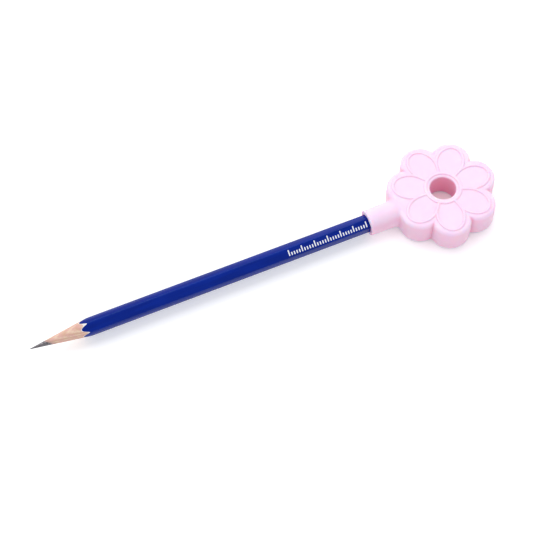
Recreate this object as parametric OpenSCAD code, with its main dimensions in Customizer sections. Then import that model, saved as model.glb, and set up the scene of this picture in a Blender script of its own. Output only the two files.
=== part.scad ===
// Chewable silicone pencil topper, pushed onto a sharpened six-sided pencil.
// Millimetres. The origin is the centre of the round hole through the flower, halfway through
// its thickness. Z runs up along the hole, and X runs along the pencil, away from its point.

/* [Flower] */
// Number of petals round the flower
petal_count = 7; // [7:1:8]
// Distance from the hole's axis to the middle of a petal's rounded end
lobe_reach = 15.4; // [13:0.1:19.5]
// Radius of a petal's rounded end, seen from above
lobe_r = 8.7; // [7.5:0.1:9.4]
// Thickness of the flower between its two flat faces
face_t = 11.9; // [11.6:0.1:14]
// Rounding of the flower's upper and lower edges
edge_r = 1.6; // [0.5:0.1:3]
// How far inside the petals' middles the flower's flat middle ends
middle_inset = 1; // [0.5:0.1:2]
// How far the flower's flat middle lies below the petals' faces
middle_drop = 0.05; // [0.03:0.01:0.15]
// Diameter of the hole through the flower
hole_d = 11.4; // [8:0.1:14]
// Bevel at each end of the hole
hole_bevel = 0.4; // [0.1:0.1:1]

/* [Raised lines] */
// Height of the raised lines above each face
line_h = 0.4; // [0.2:0.05:0.8]
// Width of the raised lines
line_w = 1; // [0.6:0.05:1.5]
// Width of the raised ring round the hole
ring_w = 1.3; // [0.6:0.05:1.5]
// Flat margin between the hole's bevel and the ring
ring_margin = 0.9; // [0.4:0.1:1.5]
// How far inside the petal's middle a petal line's round end is centred
loop_inset = 0; // [0:0.1:1.5]
// Distance from a petal's outer wall to the middle of its raised line
loop_margin = 2.7; // [1.8:0.1:3]

/* [Neck] */
// Outside diameter of the tubular neck
neck_d = 11.4; // [10.5:0.1:14]
// Distance from the hole's axis to the mouth of the neck
neck_reach = 35.9; // [32:0.1:46]
// Distance from the hole's axis to where the neck sinks into the faces
neck_root = 14.5; // [13:0.1:17]
// Length over which the neck sinks into the faces
neck_taper = 3; // [1:0.1:4]
// Bevel round the outside of the mouth
mouth_bevel = 0.4; // [0.1:0.1:0.8]
// Depth of the six-sided socket
socket_depth = 22.4; // [15:0.1:23]
// Gap between the socket and the pencil on every side
socket_gap = 0.06; // [0.04:0.01:0.1]

/* [Pencil] */
// Length of the pencil, from its end in the socket to its point
pencil_len = 175; // [100:1:215]
// Size of the pencil across its flats, over the lacquer
pencil_af = 7; // [5.8:0.1:8.4]
// How much each of the pencil's corners is eased, towards its axis
corner_cut = 0.12; // [0.08:0.01:0.3]
// Turn of the pencil in the socket, from level up to its first corner
pencil_roll = 33; // [0:0.1:60]
// Gap between the pencil's end and the floor of the socket
seat_gap = 0.1; // [0.05:0.05:0.5]
// Angle between the sharpened cone and the pencil's axis
point_angle = 8.3; // [7:0.1:13]
// Radius of the blunt end of the point
point_r = 0.15; // [0.1:0.05:0.4]
// Thickness of the blue lacquer
lacquer_t = 0.1; // [0.06:0.01:0.2]
// Thickness of the pale primer under the lacquer
primer_t = 0.06; // [0.03:0.01:0.1]
// Diameter of the graphite core
core_d = 2.6; // [2:0.1:3.2]
// How far the core lies off the pencil's axis, along the glued joint
core_shift = 0.23; // [0:0.01:0.4]
// Gap round the core in its grooves
core_gap = 0.02; // [0.01:0.01:0.05]
// Thickness of the glue between the two slats
glue_t = 0.08; // [0.04:0.01:0.15]

/* [Stamped scale] */
// Number of spaces between the ticks of the scale
tick_steps = 30; // [5:1:40]
// Distance from one tick to the next
tick_pitch = 1.2; // [1:0.1:1.5]
// Width of a tick
tick_w = 0.5; // [0.3:0.05:0.8]
// Length of a short tick
tick_short = 1.4; // [1:0.1:1.6]
// Length of every fifth tick
tick_long = 2.6; // [1.8:0.1:3]
// Thickness of the stamped foil
foil_t = 0.03; // [0.02:0.01:0.05]
// Distance from the mouth of the neck to the first tick
scale_start = 1.2; // [0.5:0.1:10]

/* [Hidden] */
$fn = 96;
overlap = 0.5;
petal_step = 360 / petal_count;
half_t = face_t / 2;
hole_r = hole_d / 2;
ring_in = hole_r + hole_bevel + ring_margin;
ring_out = ring_in + ring_w;
middle_r = lobe_reach - middle_inset;
loop_reach = lobe_reach - loop_inset;
loop_r = lobe_r - loop_margin;
// The loop runs up to the line between two petals, which ends past where their loops cross.
loop_cut = loop_reach * pow(cos(petal_step / 2), 2);
loop_out = loop_r + line_w / 2;
loop_off = loop_reach * sin(petal_step / 2);
loop_cross = sqrt(max(0, pow(loop_out, 2) - pow(loop_off, 2)));
line_end = loop_reach * cos(petal_step / 2) + loop_cross + line_w / 2;
socket_floor = neck_reach - socket_depth;
pencil_end = socket_floor + seat_gap;
corner_step = 60;
pencil_ac = pencil_af / cos(corner_step / 2) - 2 * corner_cut;
hex_fn = 6;
cone_slope = tan(point_angle);
core_r = core_d / 2;
wood_inset = lacquer_t + primer_t;
long_every = 5;
topper_pink = [0.96, 0.76, 0.87];
lacquer_blue = [0.07, 0.16, 0.52];
primer_cream = [0.93, 0.9, 0.84];
cedar = [0.87, 0.71, 0.6];
glue_tan = [0.72, 0.58, 0.42];
graphite_grey = [0.24, 0.24, 0.26];
foil_white = [0.95, 0.95, 0.95];

// One petal as a round puck with rounded edges, on the X axis.
module puck() {
  flat_r = lobe_r - edge_r;
  wall = face_t - 2 * edge_r;
  translate([lobe_reach, 0, 0])
    rotate_extrude()
      union() {
        translate([0, -half_t])
          square([flat_r, face_t]);
        translate([0, -wall / 2])
          square([lobe_r, wall]);
        for (side = [-1, 1])
          translate([flat_r, side * wall / 2])
            circle(r = edge_r);
      }
}

// One petal's own share of the circle: two neighbours' shares meet on a flat plane.
module petal_share() {
  far = 2 * (lobe_reach + lobe_r);
  far_x = far * cos(petal_step / 2);
  far_y = far * sin(petal_step / 2);
  linear_extrude(height = 2 * face_t, center = true)
    polygon([[0, 0], [far_x, -far_y], [far_x, far_y]]);
}

// One petal, cut off where its neighbours begin.
module petal() {
  intersection() {
    puck();
    petal_share();
  }
}

// The flower: its flat middle, with the petals joined round it.
module flower() {
  cylinder(h = face_t - 2 * middle_drop, r = middle_r, center = true);
  for (i = [0 : petal_count - 1])
    rotate([0, 0, i * petal_step])
      petal();
}

// The raised lines of one face: a ring, a straight line between each two petals, and round ends.
module raised_lines() {
  height = line_h + overlap;
  translate([0, 0, half_t - overlap]) {
    difference() {
      cylinder(h = height, r = ring_out);
      translate([0, 0, -overlap])
        cylinder(h = height + 2 * overlap, r = ring_in);
    }
    for (i = [0 : petal_count - 1])
      rotate([0, 0, i * petal_step]) {
        rotate([0, 0, petal_step / 2])
          translate([(ring_in + ring_out) / 2, -line_w / 2, 0])
            cube([line_end - (ring_in + ring_out) / 2, line_w, height]);
        difference() {
          intersection() {
            translate([loop_reach, 0, 0])
              cylinder(h = height, r = loop_out);
            petal_share();
          }
          translate([loop_reach, 0, -overlap])
            cylinder(h = height + 2 * overlap, r = loop_r - line_w / 2);
          translate([loop_cut - 2 * loop_r, -2 * loop_r, -overlap])
            cube([2 * loop_r, 4 * loop_r, height + 2 * overlap]);
        }
      }
  }
}

// The neck: a round bar along X that tapers until the flower's faces swallow it.
module neck() {
  neck_r = neck_d / 2;
  root_r = min(half_t, neck_r) - overlap;
  rotate([0, -90, 0])
    rotate_extrude()
      polygon([
        [0, neck_root - neck_taper],
        [root_r, neck_root - neck_taper],
        [neck_r, neck_root + neck_taper],
        [neck_r, neck_reach - mouth_bevel],
        [neck_r - mouth_bevel, neck_reach],
        [0, neck_reach]
      ]);
}

// The hole through the flower, with a bevel at each face.
module finger_hole() {
  rim_r = hole_r + hole_bevel;
  rotate_extrude()
    polygon([
      [0, -half_t - overlap],
      [rim_r + overlap, -half_t - overlap],
      [hole_r, -half_t + hole_bevel],
      [hole_r, half_t - hole_bevel],
      [rim_r + overlap, half_t + overlap],
      [0, half_t + overlap]
    ]);
}

// Moves a shape drawn from the point along Z onto the pencil's place along X.
module along_pencil() {
  translate([-pencil_end - pencil_len, 0, 0])
    rotate([0, 90, 0])
      rotate([0, 0, 90 + pencil_roll])
        children();
}

// A six-sided bar with eased corners, smaller all round than the pencil by inset.
module six_sided_bar(inset, from, to) {
  translate([0, 0, from])
    intersection() {
      cylinder(h = to - from, r = (pencil_af / 2 - inset) / cos(corner_step / 2), $fn = hex_fn);
      cylinder(h = to - from, r = pencil_ac / 2 - inset);
    }
}

// Everything inside the sharpened cone, out to past the corners.
module sharpened_cone() {
  far_r = pencil_ac;
  rotate_extrude()
    polygon([
      [0, 0],
      [point_r, 0],
      [far_r, (far_r - point_r) / cone_slope],
      [far_r, pencil_len + overlap],
      [0, pencil_len + overlap]
    ]);
}

// The pencil's outline at a depth under the lacquer, sharpened at its point.
module sharpened_bar(inset) {
  intersection() {
    six_sided_bar(inset, 0, pencil_len);
    sharpened_cone();
  }
}

// One coat: the bar at one depth, with the bar at the next depth taken out.
module coat(inset, thickness) {
  difference() {
    sharpened_bar(inset);
    six_sided_bar(inset + thickness, -overlap, pencil_len + overlap);
  }
}

// A round bar where the core lies, larger all round by gap.
module core_bar(gap, reach) {
  translate([-core_shift, 0, -reach])
    cylinder(h = pencil_len + 2 * reach, r = core_r + gap);
}

// One half of the wood, on the side of the glued joint that side gives.
module slat(side) {
  difference() {
    sharpened_bar(wood_inset);
    core_bar(core_gap, overlap);
    translate([-pencil_ac, side > 0 ? glue_t / 2 - 2 * pencil_ac : -glue_t / 2, -overlap])
      cube([2 * pencil_ac, 2 * pencil_ac, pencil_len + 2 * overlap]);
  }
}

module chew_topper() {
  color(topper_pink)
    difference() {
      union() {
        flower();
        raised_lines();
        mirror([0, 0, 1])
          raised_lines();
        neck();
      }
      finger_hole();
      along_pencil()
        six_sided_bar(-socket_gap, pencil_len - socket_depth + seat_gap - overlap,
                      pencil_len + seat_gap);
    }
}

module lacquer_coat() {
  color(lacquer_blue)
    along_pencil()
      coat(0, lacquer_t);
}

module primer_coat() {
  color(primer_cream)
    along_pencil()
      coat(lacquer_t, primer_t);
}

module upper_slat() {
  color(cedar)
    along_pencil()
      slat(1);
}

module lower_slat() {
  color(cedar)
    along_pencil()
      slat(-1);
}

module glue_line() {
  color(glue_tan)
    along_pencil()
      difference() {
        intersection() {
          sharpened_bar(wood_inset);
          translate([-pencil_ac, -glue_t / 2, -overlap])
            cube([2 * pencil_ac, glue_t, pencil_len + 2 * overlap]);
        }
        core_bar(core_gap, overlap);
      }
}

module graphite_core() {
  color(graphite_grey)
    along_pencil()
      intersection() {
        core_bar(0, 0);
        sharpened_cone();
      }
}

module foil_scale() {
  first = pencil_len + pencil_end - neck_reach - scale_start;
  color(foil_white)
    along_pencil()
      for (i = [0 : tick_steps]) {
        tick_len = i % long_every == 0 ? tick_long : tick_short;
        translate([-tick_long / 2, pencil_af / 2, first - i * tick_pitch - tick_w])
          cube([tick_len, foil_t, tick_w]);
      }
}

chew_topper();
lacquer_coat();
primer_coat();
upper_slat();
lower_slat();
glue_line();
graphite_core();
foil_scale();
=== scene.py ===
import math

import bmesh
import bpy
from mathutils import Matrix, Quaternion, Vector


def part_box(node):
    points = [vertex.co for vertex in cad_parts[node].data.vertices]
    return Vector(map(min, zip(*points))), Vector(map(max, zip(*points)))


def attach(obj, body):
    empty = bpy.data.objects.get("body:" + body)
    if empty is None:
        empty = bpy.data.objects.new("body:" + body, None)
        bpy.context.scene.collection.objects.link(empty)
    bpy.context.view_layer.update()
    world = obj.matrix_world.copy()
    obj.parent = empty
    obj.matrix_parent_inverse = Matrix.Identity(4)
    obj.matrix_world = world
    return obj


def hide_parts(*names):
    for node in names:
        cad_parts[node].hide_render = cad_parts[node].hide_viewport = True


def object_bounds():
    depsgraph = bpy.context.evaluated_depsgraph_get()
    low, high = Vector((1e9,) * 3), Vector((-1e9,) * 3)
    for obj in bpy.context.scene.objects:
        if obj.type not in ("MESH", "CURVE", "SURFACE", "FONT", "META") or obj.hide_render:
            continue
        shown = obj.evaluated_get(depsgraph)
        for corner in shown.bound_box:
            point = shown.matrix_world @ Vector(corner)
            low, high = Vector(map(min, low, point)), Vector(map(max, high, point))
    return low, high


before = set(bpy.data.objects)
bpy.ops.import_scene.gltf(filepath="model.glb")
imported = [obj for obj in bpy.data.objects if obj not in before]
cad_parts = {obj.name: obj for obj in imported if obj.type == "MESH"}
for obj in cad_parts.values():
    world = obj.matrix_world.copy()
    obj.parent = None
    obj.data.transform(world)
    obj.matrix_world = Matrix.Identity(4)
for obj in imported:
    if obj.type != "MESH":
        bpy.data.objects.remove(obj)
cad_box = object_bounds()

# Graphite core: a fired rod of graphite and clay, glued into the grooves of the two wooden slats.
# It runs a little off the pencil's axis, and the sharpener has cut its front to a blunt point.
MM = 0.001
point_x, end_x = (corner.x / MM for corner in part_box("graphite_core"))
pencil_length = end_x - point_x
pencil_roll = math.radians(33)
cone_slope = math.tan(math.radians(8.3))
tip_radius = 0.15
core_radius = 1.3
core_offset = 0.23
core_points = 96
core_step = 0.25
core_steps_on_cone = 44
weld_gap = 0.002
crisp_edge = math.radians(38)
core_dark = (48, 46, 50)
core_light = (142, 138, 143)


def on_pencil(across, up, along):
    """A point of the pencil, in millimetres from its tip, turned and moved to its place in metres."""
    turn_y = across * math.cos(pencil_roll) - up * math.sin(pencil_roll)
    turn_z = across * math.sin(pencil_roll) + up * math.cos(pencil_roll)
    return ((point_x + along) * MM, turn_y * MM, turn_z * MM)


def round_pencil(angle, radius, along):
    """A point at an angle round the pencil's axis."""
    return on_pencil(radius * math.cos(angle), radius * math.sin(angle), along)


def core_reach(angle):
    """Distance from the pencil's axis to the side of the core."""
    sideways = core_offset * math.sin(angle)
    return math.sqrt(core_radius**2 - sideways**2) - core_offset * math.cos(angle)


def cone_start(radius):
    """Distance from the tip at which the sharpened cone has a radius."""
    return (radius - tip_radius) / cone_slope


def skin_rings(name, rings, around=False):
    """A closed mesh through rings of points: around joins the last ring to the first."""
    count = len(rings[0])
    corners = [point for ring in rings for point in ring]
    faces = []
    for i in range(len(rings) - (0 if around else 1)):
        here = i * count
        there = (i + 1) % len(rings) * count
        for j in range(count):
            k = (j + 1) % count
            faces.append((here + j, here + k, there + k, there + j))
    if not around:
        for first in (0, len(corners) - count):
            for j in range(count // 2 - 1):
                faces.append((first + j, first + j + 1, first + count - 2 - j, first + count - 1 - j))
    mesh = bpy.data.meshes.new(name)
    mesh.from_pydata(corners, [], faces)
    shape = bmesh.new()
    shape.from_mesh(mesh)
    bmesh.ops.remove_doubles(shape, verts=shape.verts, dist=weld_gap * MM)
    bmesh.ops.recalc_face_normals(shape, faces=shape.faces)
    shape.to_mesh(mesh)
    shape.free()
    mesh.shade_smooth()
    mesh.set_sharp_from_angle(angle=crisp_edge)
    return mesh


def add_piece(name, mesh, body, slot, *nodes):
    """A finished mesh as a piece on a body, standing for CAD nodes."""
    piece = bpy.data.objects.new(name, mesh)
    bpy.context.scene.collection.objects.link(piece)
    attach(piece, body)
    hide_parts(*nodes)


class Wire:
    """A value in a node tree: arithmetic on it adds Math nodes, and add() makes any other node."""

    def __init__(self, tree, socket=None):
        self.tree = tree
        self.socket = socket

    def add(self, kind, settings, values, out=0):
        """Adds a node: its settings are set first, then the values or links of its sockets."""
        node = self.tree.nodes.new(kind)
        for name, setting in settings.items():
            setattr(node, name, setting)
        for key, value in values.items():
            if isinstance(value, Wire):
                self.tree.links.new(value.socket, node.inputs[key])
            else:
                node.inputs[key].default_value = value
        return Wire(self.tree, node.outputs[out]) if node.outputs else None

    def math(self, operation, *others):
        """One Math node on this value and the others."""
        values = dict(enumerate((self, *others)))
        return self.add("ShaderNodeMath", {"operation": operation}, values)

    def __add__(self, other):
        return self.math("ADD", other)

    def __sub__(self, other):
        return self.math("SUBTRACT", other)

    def __rsub__(self, other):
        return self.math("MULTIPLY_ADD", -1.0, other)

    def __mul__(self, other):
        return self.math("MULTIPLY", other)

    def __truediv__(self, other):
        return self.math("DIVIDE", other)

    def __neg__(self):
        return self.math("MULTIPLY", -1.0)

    def __abs__(self):
        return self.math("ABSOLUTE")

    __radd__ = __add__
    __rmul__ = __mul__


def tint(colour):
    """A screen colour of 0 to 255 as the linear colour that a socket takes."""
    shares = [c / 255 for c in colour]
    linear = [s / 12.92 if s <= 0.04045 else ((s + 0.055) / 1.055) ** 2.4 for s in shares]
    return (*linear, 1.0)


def mix(factor, first, second):
    """One colour going over into another."""
    values = {0: factor, 6: first, 7: second}
    return factor.add("ShaderNodeMix", {"data_type": "RGBA"}, values, out=2)


def ease(value, start, stop):
    """0 before start, 1 after stop, and a smooth rise between them."""
    settings = {"interpolation_type": "SMOOTHSTEP"}
    return value.add("ShaderNodeMapRange", settings, {0: value, 1: start, 2: stop})


def noise(place, stretch, detail, roughness):
    """Noise from 0 to 1, with stretch repeats per millimetre along each axis."""
    scaled = place.add("ShaderNodeMapping", {}, {0: place, 3: stretch})
    values = {"Vector": scaled, "Scale": 1.0, "Detail": detail, "Roughness": roughness}
    return place.add("ShaderNodeTexNoise", {}, values)


def part_axis(place, index):
    """One of a vector's three numbers."""
    return place.add("ShaderNodeSeparateXYZ", {}, {0: place}, out=index)


def bump(height, depth):
    """A normal from a height of 0 to 1 that stands for depth millimetres."""
    return height.add("ShaderNodeBump", {}, {"Strength": 1.0, "Distance": depth * MM, "Height": height})


def blank_finish(name):
    """A new material with an empty node tree."""
    material = bpy.data.materials.new(name)
    material.use_nodes = True
    material.node_tree.nodes.clear()
    return material, Wire(material.node_tree)


def show_finish(tree, values):
    """Ends a material in a Principled shader with these socket values and links."""
    shader = tree.add("ShaderNodeBsdfPrincipled", {}, values)
    tree.add("ShaderNodeOutputMaterial", {}, {"Surface": shader})


def pencil_place(tree):
    """Millimetres along the pencil from its tip, across it, and up towards its stamped facet."""
    place = tree.add("ShaderNodeTexCoord", {}, {}, out="Object")
    turn = {0: place, 1: (-point_x, 0, 0), 2: (-pencil_roll, 0, 0), 3: (1 / MM,) * 3}
    return tree.add("ShaderNodeMapping", {}, turn)


def graphite_finish():
    """Burnished dark grey, with the fine rings that the sharpener's blade leaves."""
    material, tree = blank_finish("burnished_graphite")
    place = pencil_place(tree)
    rings = noise(place, (7.0, 0.5, 0.5), detail=3.0, roughness=0.6)
    grain = noise(place, (9.0, 9.0, 9.0), detail=2.0, roughness=0.6)
    shade = ease(rings * 0.45 + grain * 0.55, 0.32, 0.68)
    show_finish(tree, {
        "Base Color": mix(shade, tint(core_dark), tint(core_light)),
        "Metallic": 0.9,
        "Roughness": 0.16 + grain * 0.2,
        "Normal": bump(rings * 0.7 + grain * 0.3, depth=0.03),
    })
    return material


def core_section(along):
    """The core's outline at a distance from the tip."""
    worn = math.sqrt(2 * tip_radius * along)
    cone = min(worn, tip_radius + along * cone_slope)
    turns = [2 * math.pi * i / core_points for i in range(core_points)]
    return [round_pencil(a, min(cone, core_reach(a)), along) for a in turns]


tip_steps = [0.0, 0.006, 0.02, 0.045, 0.08, 0.125, 0.2, 0.35]
cone_steps = [tip_steps[-1] + core_step * (i + 1) for i in range(core_steps_on_cone)]
core_steps = tip_steps + cone_steps + [pencil_length]
core_mesh = skin_rings("graphite_rod", [core_section(along) for along in core_steps])
core_mesh.materials.append(graphite_finish())
add_piece("graphite_rod", core_mesh, "pencil", "graphite", "graphite_core")

# Wooden slats: two grooved halves of a pinkish softwood, glued face to face round the core.
# Their six-sided bar is cut to a cone at the front, with grain, blade marks and a grey smear.
sixth_turn = math.pi / 3
bar_across = 7.0
corner_rounding = 0.78
lacquer_depth = 0.1
primer_depth = 0.035
corner_fill = 0.05
bare_corner = math.radians(60)
bare_fill = 0.16
fill_spread = math.radians(8)
core_gap = 0.02
glue_half = 0.04
cone_cuts = 56
slat_cuts = 84
wood_pale = (233, 206, 180)
wood_tan = (210, 168, 143)
wood_pink = (219, 169, 162)
wood_fleck = (176, 128, 108)
wood_smear = (118, 108, 108)
smear_span = (1.4, 1.95)
smear_share = 0.7


def bar_reach(angle, inset):
    """Distance from the axis to a six-sided bar with rounded corners, smaller all round by inset."""
    turn = abs(angle % sixth_turn - sixth_turn / 2)
    flat = bar_across / 2 - inset
    rounding = corner_rounding - inset
    straight = flat - rounding
    centre = (straight, straight * math.tan(sixth_turn / 2))
    if flat * math.tan(turn) <= centre[1]:
        return flat / math.cos(turn)
    towards = centre[0] * math.cos(turn) + centre[1] * math.sin(turn)
    return towards + math.sqrt(towards**2 - centre[0]**2 - centre[1]**2 + rounding**2)


def under_lacquer(angle):
    """Depth of the wood under the lacquer: the primer is thicker where it fills a corner."""
    off_corner = (angle + sixth_turn / 2) % sixth_turn - sixth_turn / 2
    off_bare = math.remainder(angle - bare_corner, 2 * math.pi)
    filled = corner_fill * math.exp(-((off_corner / fill_spread) ** 2))
    bare = bare_fill * math.exp(-((off_bare / fill_spread) ** 2))
    return lacquer_depth + primer_depth + filled + bare


def slat_profile(angle, side):
    """One lengthwise cut through a slat: out along its surface and back along the groove."""
    groove = core_reach(angle) + core_gap
    surface = bar_reach(angle, under_lacquer(angle))
    start, stop = cone_start(groove), cone_start(surface)
    shares = [i / cone_cuts for i in range(cone_cuts + 1)]
    steps = [start + (stop - start) * share for share in shares]
    reaches = [groove + (surface - groove) * share for share in shares]
    steps.append(pencil_length)
    reaches.append(surface)
    ring = list(zip(reaches, steps)) + [(groove, along) for along in reversed(steps)]
    points = []
    for reach, along in ring:
        up = reach * math.sin(angle) * side
        points.append(on_pencil(reach * math.cos(angle), max(up, glue_half) * side, along))
    return points


def length_of(first, second):
    """Length of a flat vector."""
    return (first * first + second * second).math("SQRT")


def wood_finish():
    """Pale pinkish wood: fibres along the pencil, soft growth bands, flecks and a graphite smear."""
    material, tree = blank_finish("pencil_softwood")
    place = pencil_place(tree)
    fibre = noise(place, (0.3, 7.0, 7.0), detail=4.0, roughness=0.65)
    patch = noise(place, (0.5, 1.2, 1.2), detail=3.0, roughness=0.55)
    blade = noise(place, (6.0, 0.35, 0.35), detail=3.0, roughness=0.65)
    pores = noise(place, (0.9, 9.0, 9.0), detail=2.0, roughness=0.7)
    across = part_axis(place, 1)
    up = part_axis(place, 2)
    bands = ((across * 0.5 + up * 0.85 + patch * 0.5) * 7.0).math("SINE") * 0.5 + 0.5
    ground = mix(ease(fibre * 0.65 + bands * 0.35, 0.26, 0.7), tint(wood_tan), tint(wood_pale))
    blushed = mix(ease(patch, 0.36, 0.64) * 0.85, ground, tint(wood_pink))
    flecked = mix(ease(pores, 0.58, 0.74) * 0.6, blushed, tint(wood_fleck))
    from_core = length_of(across + core_offset, up)
    smear = (1 - ease(from_core + patch * 0.5, *smear_span)) * smear_share
    height = blade * 0.5 + fibre * 0.5
    show_finish(tree, {
        "Base Color": mix(smear, flecked, tint(wood_smear)),
        "Roughness": 0.62 + fibre * 0.2,
        "Specular IOR Level": 0.3,
        "Normal": bump(height, depth=0.05),
    })
    return material


softwood = wood_finish()
half_turn = [math.pi * i / slat_cuts for i in range(slat_cuts + 1)]
for slat, side in (("upper", 1), ("lower", -1)):
    slat_mesh = skin_rings(slat + "_wood", [slat_profile(angle * side, side) for angle in half_turn])
    slat_mesh.materials.append(softwood)
    add_piece(slat + "_wood", slat_mesh, "pencil", "pencil_wood", slat + "_slat")

# Glue line: a thin film of brown wood glue on each side of the core, pressed between the slats.
# It shows only as a hairline along the sharpened cone and across the flat end of the pencil.
glue_dark = (150, 112, 80)
glue_light = (188, 150, 112)


def glue_finish():
    """Hard brown glue, a little uneven."""
    material, tree = blank_finish("hard_wood_glue")
    film = noise(pencil_place(tree), (0.8, 3.0, 3.0), detail=3.0, roughness=0.6)
    show_finish(tree, {
        "Base Color": mix(ease(film, 0.35, 0.65), tint(glue_dark), tint(glue_light)),
        "Roughness": 0.4 + film * 0.25,
    })
    return material


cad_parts["glue_line"].material_slots[0].material = glue_finish()

# Primer: a pale chalky filler brushed on the bare wood before the lacquer, thicker at the corners.
# The sharpener's cut shows it as a thin light edge, and as a white patch at one corner.
primer_white = (244, 240, 238)
primer_grey = (222, 214, 208)
flat_points = 17
corner_points = 8


def bar_angles():
    """Angles round the bar, with every flat's ends and every corner's arc among them."""
    flat_half = (bar_across / 2 - corner_rounding) * math.tan(sixth_turn / 2)
    flat_end = math.atan(flat_half / (bar_across / 2))
    arc = sixth_turn - 2 * flat_end
    found = []
    for i in range(6):
        middle = sixth_turn * (i + 0.5)
        found += [middle + flat_end * (2 * j / (flat_points - 1) - 1) for j in range(flat_points)]
        found += [middle + flat_end + arc * j / corner_points for j in range(1, corner_points)]
    return found


def primer_profile(angle):
    """One lengthwise cut through the primer, from the sharpened edge to the pencil's end."""
    outside = bar_reach(angle, lacquer_depth)
    inside = bar_reach(angle, under_lacquer(angle))
    ring = [
        (outside, cone_start(outside)),
        (outside, pencil_length),
        (inside, pencil_length),
        (inside, cone_start(inside)),
    ]
    return [round_pencil(angle, reach, along) for reach, along in ring]


def primer_finish():
    """Matte filler with a chalky grain."""
    material, tree = blank_finish("chalky_primer")
    place = pencil_place(tree)
    chalk = noise(place, (3.0, 6.0, 6.0), detail=3.0, roughness=0.65)
    show_finish(tree, {
        "Base Color": mix(ease(chalk, 0.4, 0.7), tint(primer_white), tint(primer_grey)),
        "Roughness": 0.7 + chalk * 0.2,
        "Normal": bump(chalk, depth=0.02),
    })
    return material


whole_turn = bar_angles()
primer_mesh = skin_rings("primer_skin", [primer_profile(angle) for angle in whole_turn], around=True)
primer_mesh.materials.append(primer_finish())
add_piece("primer_skin", primer_mesh, "pencil", "pale_primer", "primer_coat")

# Lacquer: several dipped coats of glossy blue over the primer, with a scalloped, slightly chipped
# edge where the sharpener stopped. It follows the six flats and their softly rounded corners.
chip_depth = 0.22
# Each wave of chips: how many go round, where it starts, and its share.
chip_waves = ((11, 0.7, 1.0), (23, 2.1, 1.0), (41, 0.0, 0.7))
chip_under = 0.3
edge_drop = 0.03
edge_run = 0.12
end_drop = 0.04
end_run = 0.1
blue_deep = (2, 22, 124)
blue_clear = (3, 29, 138)
blue_scuff = (62, 88, 176)
blue_gloss = (0.35, 0.78, 1.0, 1.0)


def chipping(angle):
    """How far the lacquer's edge is broken back from the cut, a smooth wave that closes on itself."""
    wave = sum(share * math.sin(count * angle + start) for count, start, share in chip_waves)
    highest = sum(share for _, _, share in chip_waves)
    return chip_depth * (wave / highest + 1) / 2


def lacquer_profile(angle):
    """One lengthwise cut through the lacquer, from its chipped edge to the pencil's end."""
    outside = bar_reach(angle, 0)
    inside = bar_reach(angle, lacquer_depth)
    edge = cone_start(outside) + chipping(angle)
    ring = [
        (outside - edge_drop, edge - edge_run),
        (outside, edge + edge_run),
        (outside, pencil_length - end_run),
        (outside - end_drop, pencil_length),
        (inside, pencil_length),
        (inside, cone_start(inside) + chip_under * chipping(angle)),
    ]
    return [round_pencil(angle, reach, along) for reach, along in ring]


def lacquer_finish():
    """Deep blue gloss, faintly uneven along the pencil, with hairline scuffs."""
    material, tree = blank_finish("blue_gloss_lacquer")
    place = pencil_place(tree)
    depth = noise(place, (0.06, 0.5, 0.5), detail=3.0, roughness=0.5)
    ripple = noise(place, (0.35, 1.2, 1.2), detail=2.0, roughness=0.5)
    scuff = noise(place, (0.5, 14.0, 14.0), detail=3.0, roughness=0.7)
    body = mix(ease(depth, 0.3, 0.7), tint(blue_deep), tint(blue_clear))
    scuffs = ease(scuff, 0.7, 0.8)
    show_finish(tree, {
        "Base Color": mix(scuffs * 0.25, body, tint(blue_scuff)),
        "Roughness": 0.1 + depth * 0.08 + scuffs * 0.2,
        "Specular IOR Level": 0.2,
        "Specular Tint": blue_gloss,
        "Normal": bump(ripple, depth=0.02),
    })
    return material


lacquer_mesh = skin_rings("lacquer_skin", [lacquer_profile(angle) for angle in whole_turn], around=True)
lacquer_mesh.materials.append(lacquer_finish())
add_piece("lacquer_skin", lacquer_mesh, "pencil", "blue_lacquer", "lacquer_coat")

# Stamped scale: short bars of white foil, hot-stamped into the lacquer of one facet as plain ticks.
# Every fifth bar is longer, and the foil has pinholes and soft corners.
tick_sizes = {
    "Tick pitch": 1.2,
    "Tick width": 0.5,
    "Short tick": 1.4,
    "Long tick": 2.6,
    "Corner radius": 0.14,
    "Foil thickness": 0.03,
}
tick_count = 31
long_every = 5
corner_cuts = 4
foil_weld = 0.001
foil_white = (246, 247, 250)
foil_grey = (214, 219, 232)


def foil_finish():
    """White foil with a satin face, thin in places so that the blue greys it."""
    material, tree = blank_finish("white_stamped_foil")
    place = pencil_place(tree)
    thin = noise(place, (5.0, 5.0, 5.0), detail=3.0, roughness=0.7)
    show_finish(tree, {
        "Base Color": mix(ease(thin, 0.52, 0.72), tint(foil_white), tint(foil_grey)),
        "Roughness": 0.35 + thin * 0.2,
        "Normal": bump(thin, depth=0.01),
    })
    return material


def blank_tree(name, sizes):
    """An empty Geometry Nodes tree with a named input for each size."""
    tree = bpy.data.node_groups.new(name, "GeometryNodeTree")
    tree.interface.new_socket("Mesh", in_out="OUTPUT", socket_type="NodeSocketGeometry")
    for size in sizes:
        tree.interface.new_socket(size, in_out="INPUT", socket_type="NodeSocketFloat")
    group = tree.nodes.new("NodeGroupInput")
    return tree, {size: Wire(tree, group.outputs[size]) for size in sizes}


def end_tree(shape, material):
    """Ends a tree in Realize Instances and Set Material."""
    whole = shape.add("GeometryNodeRealizeInstances", {}, {"Geometry": shape})
    done = shape.add("GeometryNodeSetMaterial", {}, {"Geometry": whole, "Material": material})
    shape.add("NodeGroupOutput", {}, {"Mesh": done})


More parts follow.
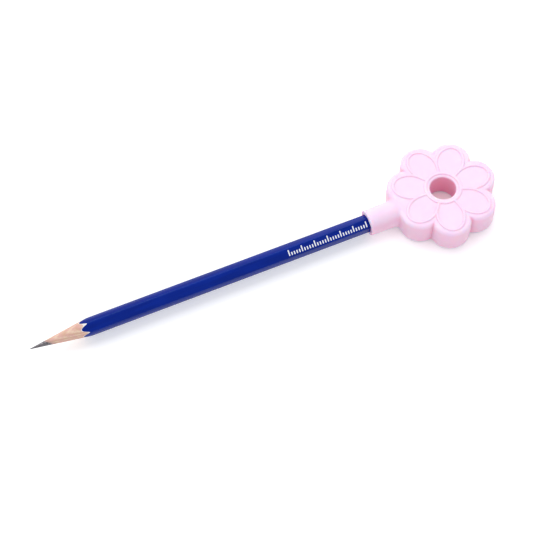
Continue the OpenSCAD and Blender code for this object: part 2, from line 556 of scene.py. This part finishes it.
def grow(name, tree, sizes):
    """Runs a tree with these sizes and returns its result as a plain mesh."""
    holder = bpy.data.objects.new(name + "_tree", bpy.data.meshes.new(name + "_seed"))
    bpy.context.scene.collection.objects.link(holder)
    modifier = holder.modifiers.new(name, "NODES")
    modifier.node_group = tree
    for item in tree.interface.items_tree:
        if item.in_out == "INPUT":
            modifier[item.identifier] = sizes[item.name]
    made = holder.evaluated_get(bpy.context.evaluated_depsgraph_get())
    mesh = bpy.data.meshes.new_from_object(made)
    mesh.name = name
    holder.modifiers.clear()
    bpy.data.objects.remove(holder)
    return mesh


def foil_bar(size, length):
    """One bar of foil with rounded corners, closed underneath."""
    values = {"Width": size["Tick width"], "Height": length}
    outline = length.add("GeometryNodeCurvePrimitiveQuadrilateral", {}, values)
    rounding = {"Curve": outline, "Count": corner_cuts, "Radius": size["Corner radius"]}
    rounded = length.add("GeometryNodeFilletCurve", {"mode": "POLY"}, rounding)
    face = length.add("GeometryNodeFillCurve", {"mode": "NGONS"}, {"Curve": rounded})
    raised = {"Mesh": face, "Offset Scale": size["Foil thickness"]}
    bar = length.add("GeometryNodeExtrudeMesh", {}, raised)
    under = length.add("GeometryNodeFlipFaces", {}, {"Mesh": face})
    shell = length.add("GeometryNodeJoinGeometry", {}, {"Geometry": bar})
    length.tree.links.new(under.socket, shell.socket.node.inputs["Geometry"])
    joined = length.add("GeometryNodeMergeByDistance", {}, {"Geometry": shell, "Distance": foil_weld})
    lift = length.add("ShaderNodeCombineXYZ", {}, {1: (length - size["Long tick"]) * 0.5})
    return length.add("GeometryNodeTransform", {}, {"Geometry": joined, "Translation": lift})


def scale_tree(material):
    """Points along the facet, each with a short bar or, at every fifth, a long one."""
    tree, size = blank_tree("stamped_ticks", tick_sizes)
    root = Wire(tree)
    step = root.add("ShaderNodeCombineXYZ", {}, {0: -size["Tick pitch"]})
    row = root.add("GeometryNodeMeshLine", {"mode": "OFFSET"}, {"Count": tick_count, "Offset": step})
    index = root.add("GeometryNodeInputIndex", {}, {})
    is_long = index.math("MODULO", long_every).math("LESS_THAN", 0.5)
    bars = None
    for length, chosen in ((size["Long tick"], is_long), (size["Short tick"], 1 - is_long)):
        values = {"Points": row, "Selection": chosen, "Instance": foil_bar(size, length)}
        placed = root.add("GeometryNodeInstanceOnPoints", {}, values)
        if bars is None:
            bars = root.add("GeometryNodeJoinGeometry", {}, {"Geometry": placed})
        else:
            tree.links.new(placed.socket, bars.socket.node.inputs["Geometry"])
    first_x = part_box("foil_scale")[1].x / MM - tick_sizes["Tick width"] / 2
    on_facet = on_pencil(0, bar_across / 2, first_x - point_x)
    turned = (pencil_roll, 0, 0)
    move = {"Geometry": bars, "Translation": on_facet, "Rotation": turned, "Scale": (MM,) * 3}
    end_tree(root.add("GeometryNodeTransform", {}, move), material)
    return tree


scale_mesh = grow("scale_ticks", scale_tree(foil_finish()), tick_sizes)
add_piece("scale_ticks", scale_mesh, "pencil", "white_foil", "foil_scale")

# Chew topper: one moulding of soft pink silicone, a flower of seven petals with a finger hole and a
# tubular neck. Raised lines draw the petals on both faces, and the neck grips the pencil's end.
flower_sizes = {
    "Petal reach": 15.4,
    "Petal radius": 8.8,
    "Middle radius": 14.4,
    "Half thickness": 5.95,
    "Edge rounding": 1.45,
    "Valley rounding": 0.3,
    "Wall draft": 0.015,
    "Flash height": 0.07,
    "Hole radius": 5.7,
    "Hole rounding": 1.1,
    "Ring radius": 7.6,
    "Ring half width": 0.64,
    "Line half width": 0.52,
    "Line height": 0.4,
    "Line rounding": 0.24,
    "Line foot": 0.12,
    "Loop reach": 21.6,
    "Loop half width": 5.8,
    "Neck radius": 5.7,
    "Neck reach": 35.9,
    "Neck fillet": 3.6,
    "Mouth rounding": 0.45,
    "Socket half width": 3.56,
    "Socket corner": 4.0,
    "Socket floor": 13.5,
}
petal_count = 7
flash_reach = 0.4
ring_blend = 0.3
lead_in_depth = 0.4
lead_in_slope = 0.25
# Painted shade in the creases, a deeper pink, in millimetres: at the neck's root, along the lines and
# between petals.
root_shade_width = 2.2
root_shade_heights = (2.5, 5.5)
root_shade_depth = 0.6
line_shade_widths = (0.06, 0.42)
line_shade_depth = 0.32
valley_shade_width = 1.4
face_band = (-0.5, -0.1)
wall_from = (-1.4, -0.2)
wall_to = (0.3, 0.8)
clear_of_neck = (1.0, 4.0)
least_slope = 0.01
# Where the pink deepens down the walls, on the neck and in the hole, in millimetres: painted shade,
# with painted light that passes through the silicone.
neck_span = (21.0, 25.0)
wall_shade_fade = (4.0, 5.85)
neck_shade_fade = (2.1, 5.2)
hole_shade_fade = (5.75, 6.5)
hole_shade_rim = (4.4, 6.0)
crease_shade_share = 0.7
# The grid that the surface is drawn from, and the pull that brings it onto the true shape.
voxel = 0.285
grid_margin = 1.0
grid_headroom = 1.2
pull_rounds = 3
pull_share = 0.9
pull_limit = 0.12
silicone_pink = (254, 222, 242)
silicone_blush = (254, 219, 240)
# Painted shade, with painted light through the silicone: the deeper pinks of the walls, the hole and
# the creases.
silicone_wall_shade = (254, 205, 226)
silicone_hole_shade = (254, 184, 208)
silicone_crease_shade = (238, 172, 202)
silicone_dust = (255, 236, 248)


def silicone_finish():
    """Matte translucent silicone: pale faces, painted shade and painted light through the silicone as
    deeper pink on the walls, in the hole and in creases, fine dust.
    """
    material, tree = blank_finish("pink_silicone")
    object_place = tree.add("ShaderNodeTexCoord", {}, {}, out="Object")
    place = tree.add("ShaderNodeMapping", {}, {0: object_place, 3: (1 / MM,) * 3})
    cloud = noise(place, (0.12, 0.12, 0.12), detail=2.0, roughness=0.5)
    skin = noise(place, (4.0, 4.0, 4.0), detail=2.0, roughness=0.6)
    lint = noise(place, (2.2, 2.2, 2.2), detail=1.0, roughness=0.5)
    layers = noise(place, (0.15, 0.15, 2.2), detail=2.0, roughness=0.5)
    height = abs(part_axis(place, 2))
    x, y = part_axis(place, 0), part_axis(place, 1)
    from_axis = length_of(x, y)
    on_neck = ease(-x, *neck_span)
    face = mix(ease(cloud, 0.35, 0.65), tint(silicone_pink), tint(silicone_blush))
    # Painted shade, with painted light through the silicone: the pink deepens down the walls, on the
    # neck's sides and in the hole.
    fade = [on_neck * (neck - wall) + wall for neck, wall in zip(neck_shade_fade, wall_shade_fade)]
    wall_shade_mask = 1 - ease(height, *fade)
    body = mix(wall_shade_mask, face, tint(silicone_wall_shade))
    hole_shade_mask = (1 - ease(from_axis, *hole_shade_fade)) * (1 - ease(height, *hole_shade_rim))
    # Painted shade in the creases, from the mask that the flower's tree stores.
    painted_crease_shade = tree.add("ShaderNodeAttribute", {"attribute_name": "painted_crease_shade"}, {}, out="Fac")
    crease_shaded = mix(painted_crease_shade * crease_shade_share, body, tint(silicone_crease_shade))
    hole_shaded = mix(hole_shade_mask, crease_shaded, tint(silicone_hole_shade))
    show_finish(tree, {
        "Base Color": mix(ease(lint, 0.76, 0.82) * 0.5, hole_shaded, tint(silicone_dust)),
        "Roughness": 0.5 + skin * 0.16,
        "Specular IOR Level": 0.35,
        "Subsurface Weight": 1.0,
        "Subsurface Radius": (1.0, 0.4, 0.55),
        "Subsurface Scale": 1.6 * MM,
        "Normal": bump(skin * 0.35 + layers * 0.65, depth=0.03),
    })
    return material


def both(first, second):
    """A union: the smaller of two distances."""
    return first.math("MINIMUM", second)


def within(first, second):
    """An overlap: the larger of two distances."""
    return first.math("MAXIMUM", second)


def rounded_block(sideways, upright, rounding):
    """Distance to what lies inside two distances, with its edge rounded."""
    a = sideways + rounding
    b = upright + rounding
    inside = within(a, b).math("MINIMUM", 0.0)
    return inside + length_of(a.math("MAXIMUM", 0.0), b.math("MAXIMUM", 0.0)) - rounding


def flower_distance(root, size):
    """Millimetres from a point to the topper's surface, below zero inside it, and how much painted
    crease shade goes there.
    """
    place = root.add("GeometryNodeInputPosition", {}, {})
    x, y, z = (part_axis(place, i) for i in range(3))
    height = abs(z)
    radius = length_of(x, y)
    step = 2 * math.pi / petal_count
    angle = y.math("ARCTAN2", x)
    turn = angle - (angle / step).math("ROUND") * step
    out = radius * turn.math("COSINE")
    side = abs(radius * turn.math("SINE"))

    reach, lobe = size["Petal reach"], size["Petal radius"]
    petal = length_of(out - reach, side) - lobe
    beside = length_of(out - reach * math.cos(step), side - reach * math.sin(step)) - lobe
    outline = petal.math("SMOOTH_MIN", beside, size["Valley rounding"])
    flash = (1 - height / flash_reach).math("MAXIMUM", 0.0) * size["Flash height"]
    outline = both(outline, radius - size["Middle radius"]) + height * size["Wall draft"] - flash
    flower = rounded_block(outline, height - size["Half thickness"], size["Edge rounding"])

    neck_ends = within(-x - size["Neck reach"], x + size["Socket floor"])
    neck = rounded_block(length_of(y, z) - size["Neck radius"], neck_ends, size["Mouth rounding"])
    body = flower.math("SMOOTH_MIN", neck, size["Neck fillet"])
    body = within(body, height - size["Half thickness"])
    # Painted shade mask where the neck meets the petals.
    at_root = 1 - ease(abs(flower - neck), 0.0, root_shade_width)
    root_crease_shade = at_root * (1 - ease(height, *root_shade_heights)) * root_shade_depth

    half_step = step / 2
    loop_half = size["Loop half width"]
    chord = loop_half * loop_half / math.tan(half_step) ** 2
    inner_end = chord / size["Loop reach"]
    middle = (size["Loop reach"] + inner_end) * 0.5
    loop_long = (size["Loop reach"] - inner_end) * 0.5
    split = chord / middle
    loop_out = (out - middle) / loop_long
    loop_side = side / loop_half
    loop_size = length_of(loop_out, loop_side)
    slope = length_of(loop_out / loop_long, loop_side / loop_half)
    loop_gap = (loop_size - 1) * loop_size / slope.math("MAXIMUM", least_slope)
    loop = length_of(loop_gap, (split - out).math("MAXIMUM", 0.0))
    along = out * math.cos(half_step) + side * math.sin(half_step)
    off = side * math.cos(half_step) - out * math.sin(half_step)
    past = (along - split / math.cos(half_step)).math("MAXIMUM", 0.0)
    short = (size["Ring radius"] - along).math("MAXIMUM", 0.0)
    line = both(length_of(off, past + short), loop) - size["Line half width"]
    ring = abs(radius - size["Ring radius"]) - size["Ring half width"]
    drawn = line.math("SMOOTH_MIN", ring, ring_blend)
    top = height - size["Half thickness"] - size["Line height"]
    bead = rounded_block(drawn, top, size["Line rounding"])
    body = body.math("SMOOTH_MIN", bead, size["Line foot"])
    # Painted shade masks along the raised lines and in the valleys between petals.
    on_face = ease(height - size["Half thickness"], *face_band)
    line_crease_shade = (1 - ease(abs(drawn), *line_shade_widths)) * on_face * line_shade_depth
    at_wall = ease(outline, *wall_from) * (1 - ease(outline, *wall_to))
    in_valley = 1 - ease(abs(off), 0.0, valley_shade_width)
    valley_crease_shade = in_valley * at_wall * ease(neck, *clear_of_neck)
    crease_shade_mask = within(within(line_crease_shade, valley_crease_shade), root_crease_shade)

    body = body.math("SMOOTH_MAX", size["Hole radius"] - radius, size["Hole rounding"])
    flats = []
    for i in range(3):
        normal = pencil_roll + sixth_turn * (i + 0.5)
        flats.append(abs(y * math.cos(normal) + z * math.sin(normal)))
    hexagon = within(within(flats[0], flats[1]), flats[2]) - size["Socket half width"]
    past_mouth = lead_in_depth - size["Neck reach"] - x
    lead_in = past_mouth.math("MAXIMUM", 0.0) * lead_in_slope
    hexagon = within(hexagon, length_of(y, z) - size["Socket corner"]) - lead_in
    socket = within(hexagon, x + size["Socket floor"])
    return within(body, -socket), crease_shade_mask


def flower_tree(material):
    """A field of distances on a fine grid, its surface, and that surface drawn onto the true shape."""
    tree, size = blank_tree("moulded_flower", flower_sizes)
    root = Wire(tree)
    gap, crease_shade_mask = flower_distance(root, size)
    widest = flower_sizes["Petal reach"] + flower_sizes["Petal radius"] + grid_margin
    tallest = flower_sizes["Half thickness"] + grid_headroom
    low = (-flower_sizes["Neck reach"] - grid_margin, -widest, -tallest)
    high = (widest, widest, tallest)
    density = (1 - gap).math("MAXIMUM", 0.0).math("MINIMUM", 2.0)
    grid = {"Density": density, "Min": low, "Max": high}
    for i, axis in enumerate("XYZ"):
        grid["Resolution " + axis] = int((high[i] - low[i]) / voxel) + 1
    volume = root.add("GeometryNodeVolumeCube", {}, grid)
    surface = {"Volume": volume, "Threshold": 1.0, "Adaptivity": 0.0}
    shape = root.add("GeometryNodeVolumeToMesh", {"resolution_mode": "GRID"}, surface)
    normal = root.add("GeometryNodeInputNormal", {}, {})
    back = (gap * -pull_share).math("MAXIMUM", -pull_limit).math("MINIMUM", pull_limit)
    pull = root.add("ShaderNodeVectorMath", {"operation": "SCALE"}, {0: normal, "Scale": back})
    for _ in range(pull_rounds):
        shape = root.add("GeometryNodeSetPosition", {}, {"Geometry": shape, "Offset": pull})
    shape = root.add("GeometryNodeSetShadeSmooth", {}, {"Geometry": shape})
    # Keeps the painted crease shade for the material.
    kept = {"Geometry": shape, "Name": "painted_crease_shade", "Value": crease_shade_mask}
    shape = root.add("GeometryNodeStoreNamedAttribute", {"data_type": "FLOAT"}, kept)
    move = {"Geometry": shape, "Scale": (MM,) * 3}
    end_tree(root.add("GeometryNodeTransform", {}, move), material)
    return tree


flower_mesh = grow("flower_topper", flower_tree(silicone_finish()), flower_sizes)
add_piece("flower_topper", flower_mesh, "topper", "pink_silicone", "chew_topper")

# Stage: a white table under the topper, a white surround, one large soft lamp above and behind,
# and the camera at the photograph's angle.
table_top = cad_box[0].z
table_size = 6.0
table_white = 0.95
table_lift = 0.26
# Painted shade: a weaker lift near the flower darkens its contact shadow and the floor in the hole.
shaded_lift_near_flower = 0.1
shade_lift_span = (14 * MM, 32 * MM)
ambient = 0.81
ambient_tint = (0.94, 0.96, 0.995, 1)
lamp_tint = (1.0, 0.985, 0.965)
lamp_place = Vector((0.0, 0.68, 1.06))
lamp_size = 1.4
lamp_power = 9.7
camera_azimuth = math.radians(-22.892)
camera_elevation = math.radians(60.03)
camera_roll = math.radians(-0.494)
camera_place = Vector((-0.20692, -0.30282, 0.55529))
camera_lens = 99.43


def backdrop_rays(tree):
    """1 for the rays that see the white background, straight or in a gloss, and 0 for all others."""
    kinds = ("Camera", "Glossy", "Transmission")
    rays = [tree.add("ShaderNodeLightPath", {}, {}, out=f"Is {kind} Ray") for kind in kinds]
    return rays[0].math("MAXIMUM", rays[1]).math("MAXIMUM", rays[2])


def table_finish():
    """White card that keeps its shadows, lifted to white where it is seen; the lift is least near the
    flower, which paints shade around it and in the hole.
    """
    material, tree = blank_finish("white_table")
    card = tree.add("ShaderNodeBsdfDiffuse", {}, {"Color": (table_white,) * 3 + (1,)})
    place = tree.add("ShaderNodeTexCoord", {}, {}, out="Object")
    from_flower = length_of(part_axis(place, 0), part_axis(place, 1))
    # Painted shade: the lift falls towards the flower.
    lift = ease(from_flower, *shade_lift_span) * (table_lift - shaded_lift_near_flower) + shaded_lift_near_flower
    glow = tree.add("ShaderNodeEmission", {}, {"Color": lift, "Strength": 1.0})
    seen = tree.add("ShaderNodeAddShader", {}, {0: card, 1: glow})
    shader = tree.add("ShaderNodeMixShader", {}, {0: backdrop_rays(tree), 1: card, 2: seen})
    tree.add("ShaderNodeOutputMaterial", {}, {"Surface": shader})
    return material


table_mesh = bpy.data.meshes.new("table")
signs = ((-1, -1), (1, -1), (1, 1), (-1, 1))
table_corners = [(x * table_size / 2, y * table_size / 2, table_top) for x, y in signs]
table_mesh.from_pydata(table_corners, [], [(0, 1, 2, 3)])
table_mesh.materials.append(table_finish())
table = bpy.data.objects.new("table", table_mesh)
bpy.context.scene.collection.objects.link(table)

world = bpy.data.worlds.new("white_surround")
world.use_nodes = True
world.node_tree.nodes.clear()
surround = Wire(world.node_tree)
light = surround.add("ShaderNodeBackground", {}, {"Color": ambient_tint, "Strength": ambient})
white = surround.add("ShaderNodeBackground", {}, {"Color": (1, 1, 1, 1), "Strength": 1.0})
sky = surround.add("ShaderNodeMixShader", {}, {0: backdrop_rays(surround), 1: light, 2: white})
surround.add("ShaderNodeOutputWorld", {}, {"Surface": sky})
bpy.context.scene.world = world

lamp_data = bpy.data.lights.new("soft_lamp", "AREA")
lamp_data.size = lamp_size
lamp_data.energy = lamp_power
lamp_data.color = lamp_tint
lamp = bpy.data.objects.new("soft_lamp", lamp_data)
lamp.location = lamp_place
lamp.rotation_euler = lamp_place.to_track_quat("Z", "Y").to_euler()
bpy.context.scene.collection.objects.link(lamp)

camera_data = bpy.data.cameras.new("camera")
camera_data.lens = camera_lens
camera = bpy.data.objects.new("camera", camera_data)
towards = Vector((
    math.sin(camera_azimuth) * math.cos(camera_elevation),
    -math.cos(camera_azimuth) * math.cos(camera_elevation),
    math.sin(camera_elevation),
))
camera.location = camera_place
level = towards.to_track_quat("Z", "Y")
camera.rotation_euler = (level @ Quaternion((0, 0, 1), camera_roll)).to_euler()
bpy.context.scene.collection.objects.link(camera)
bpy.context.scene.camera = camera
bpy.context.scene.view_settings.view_transform = "Standard"
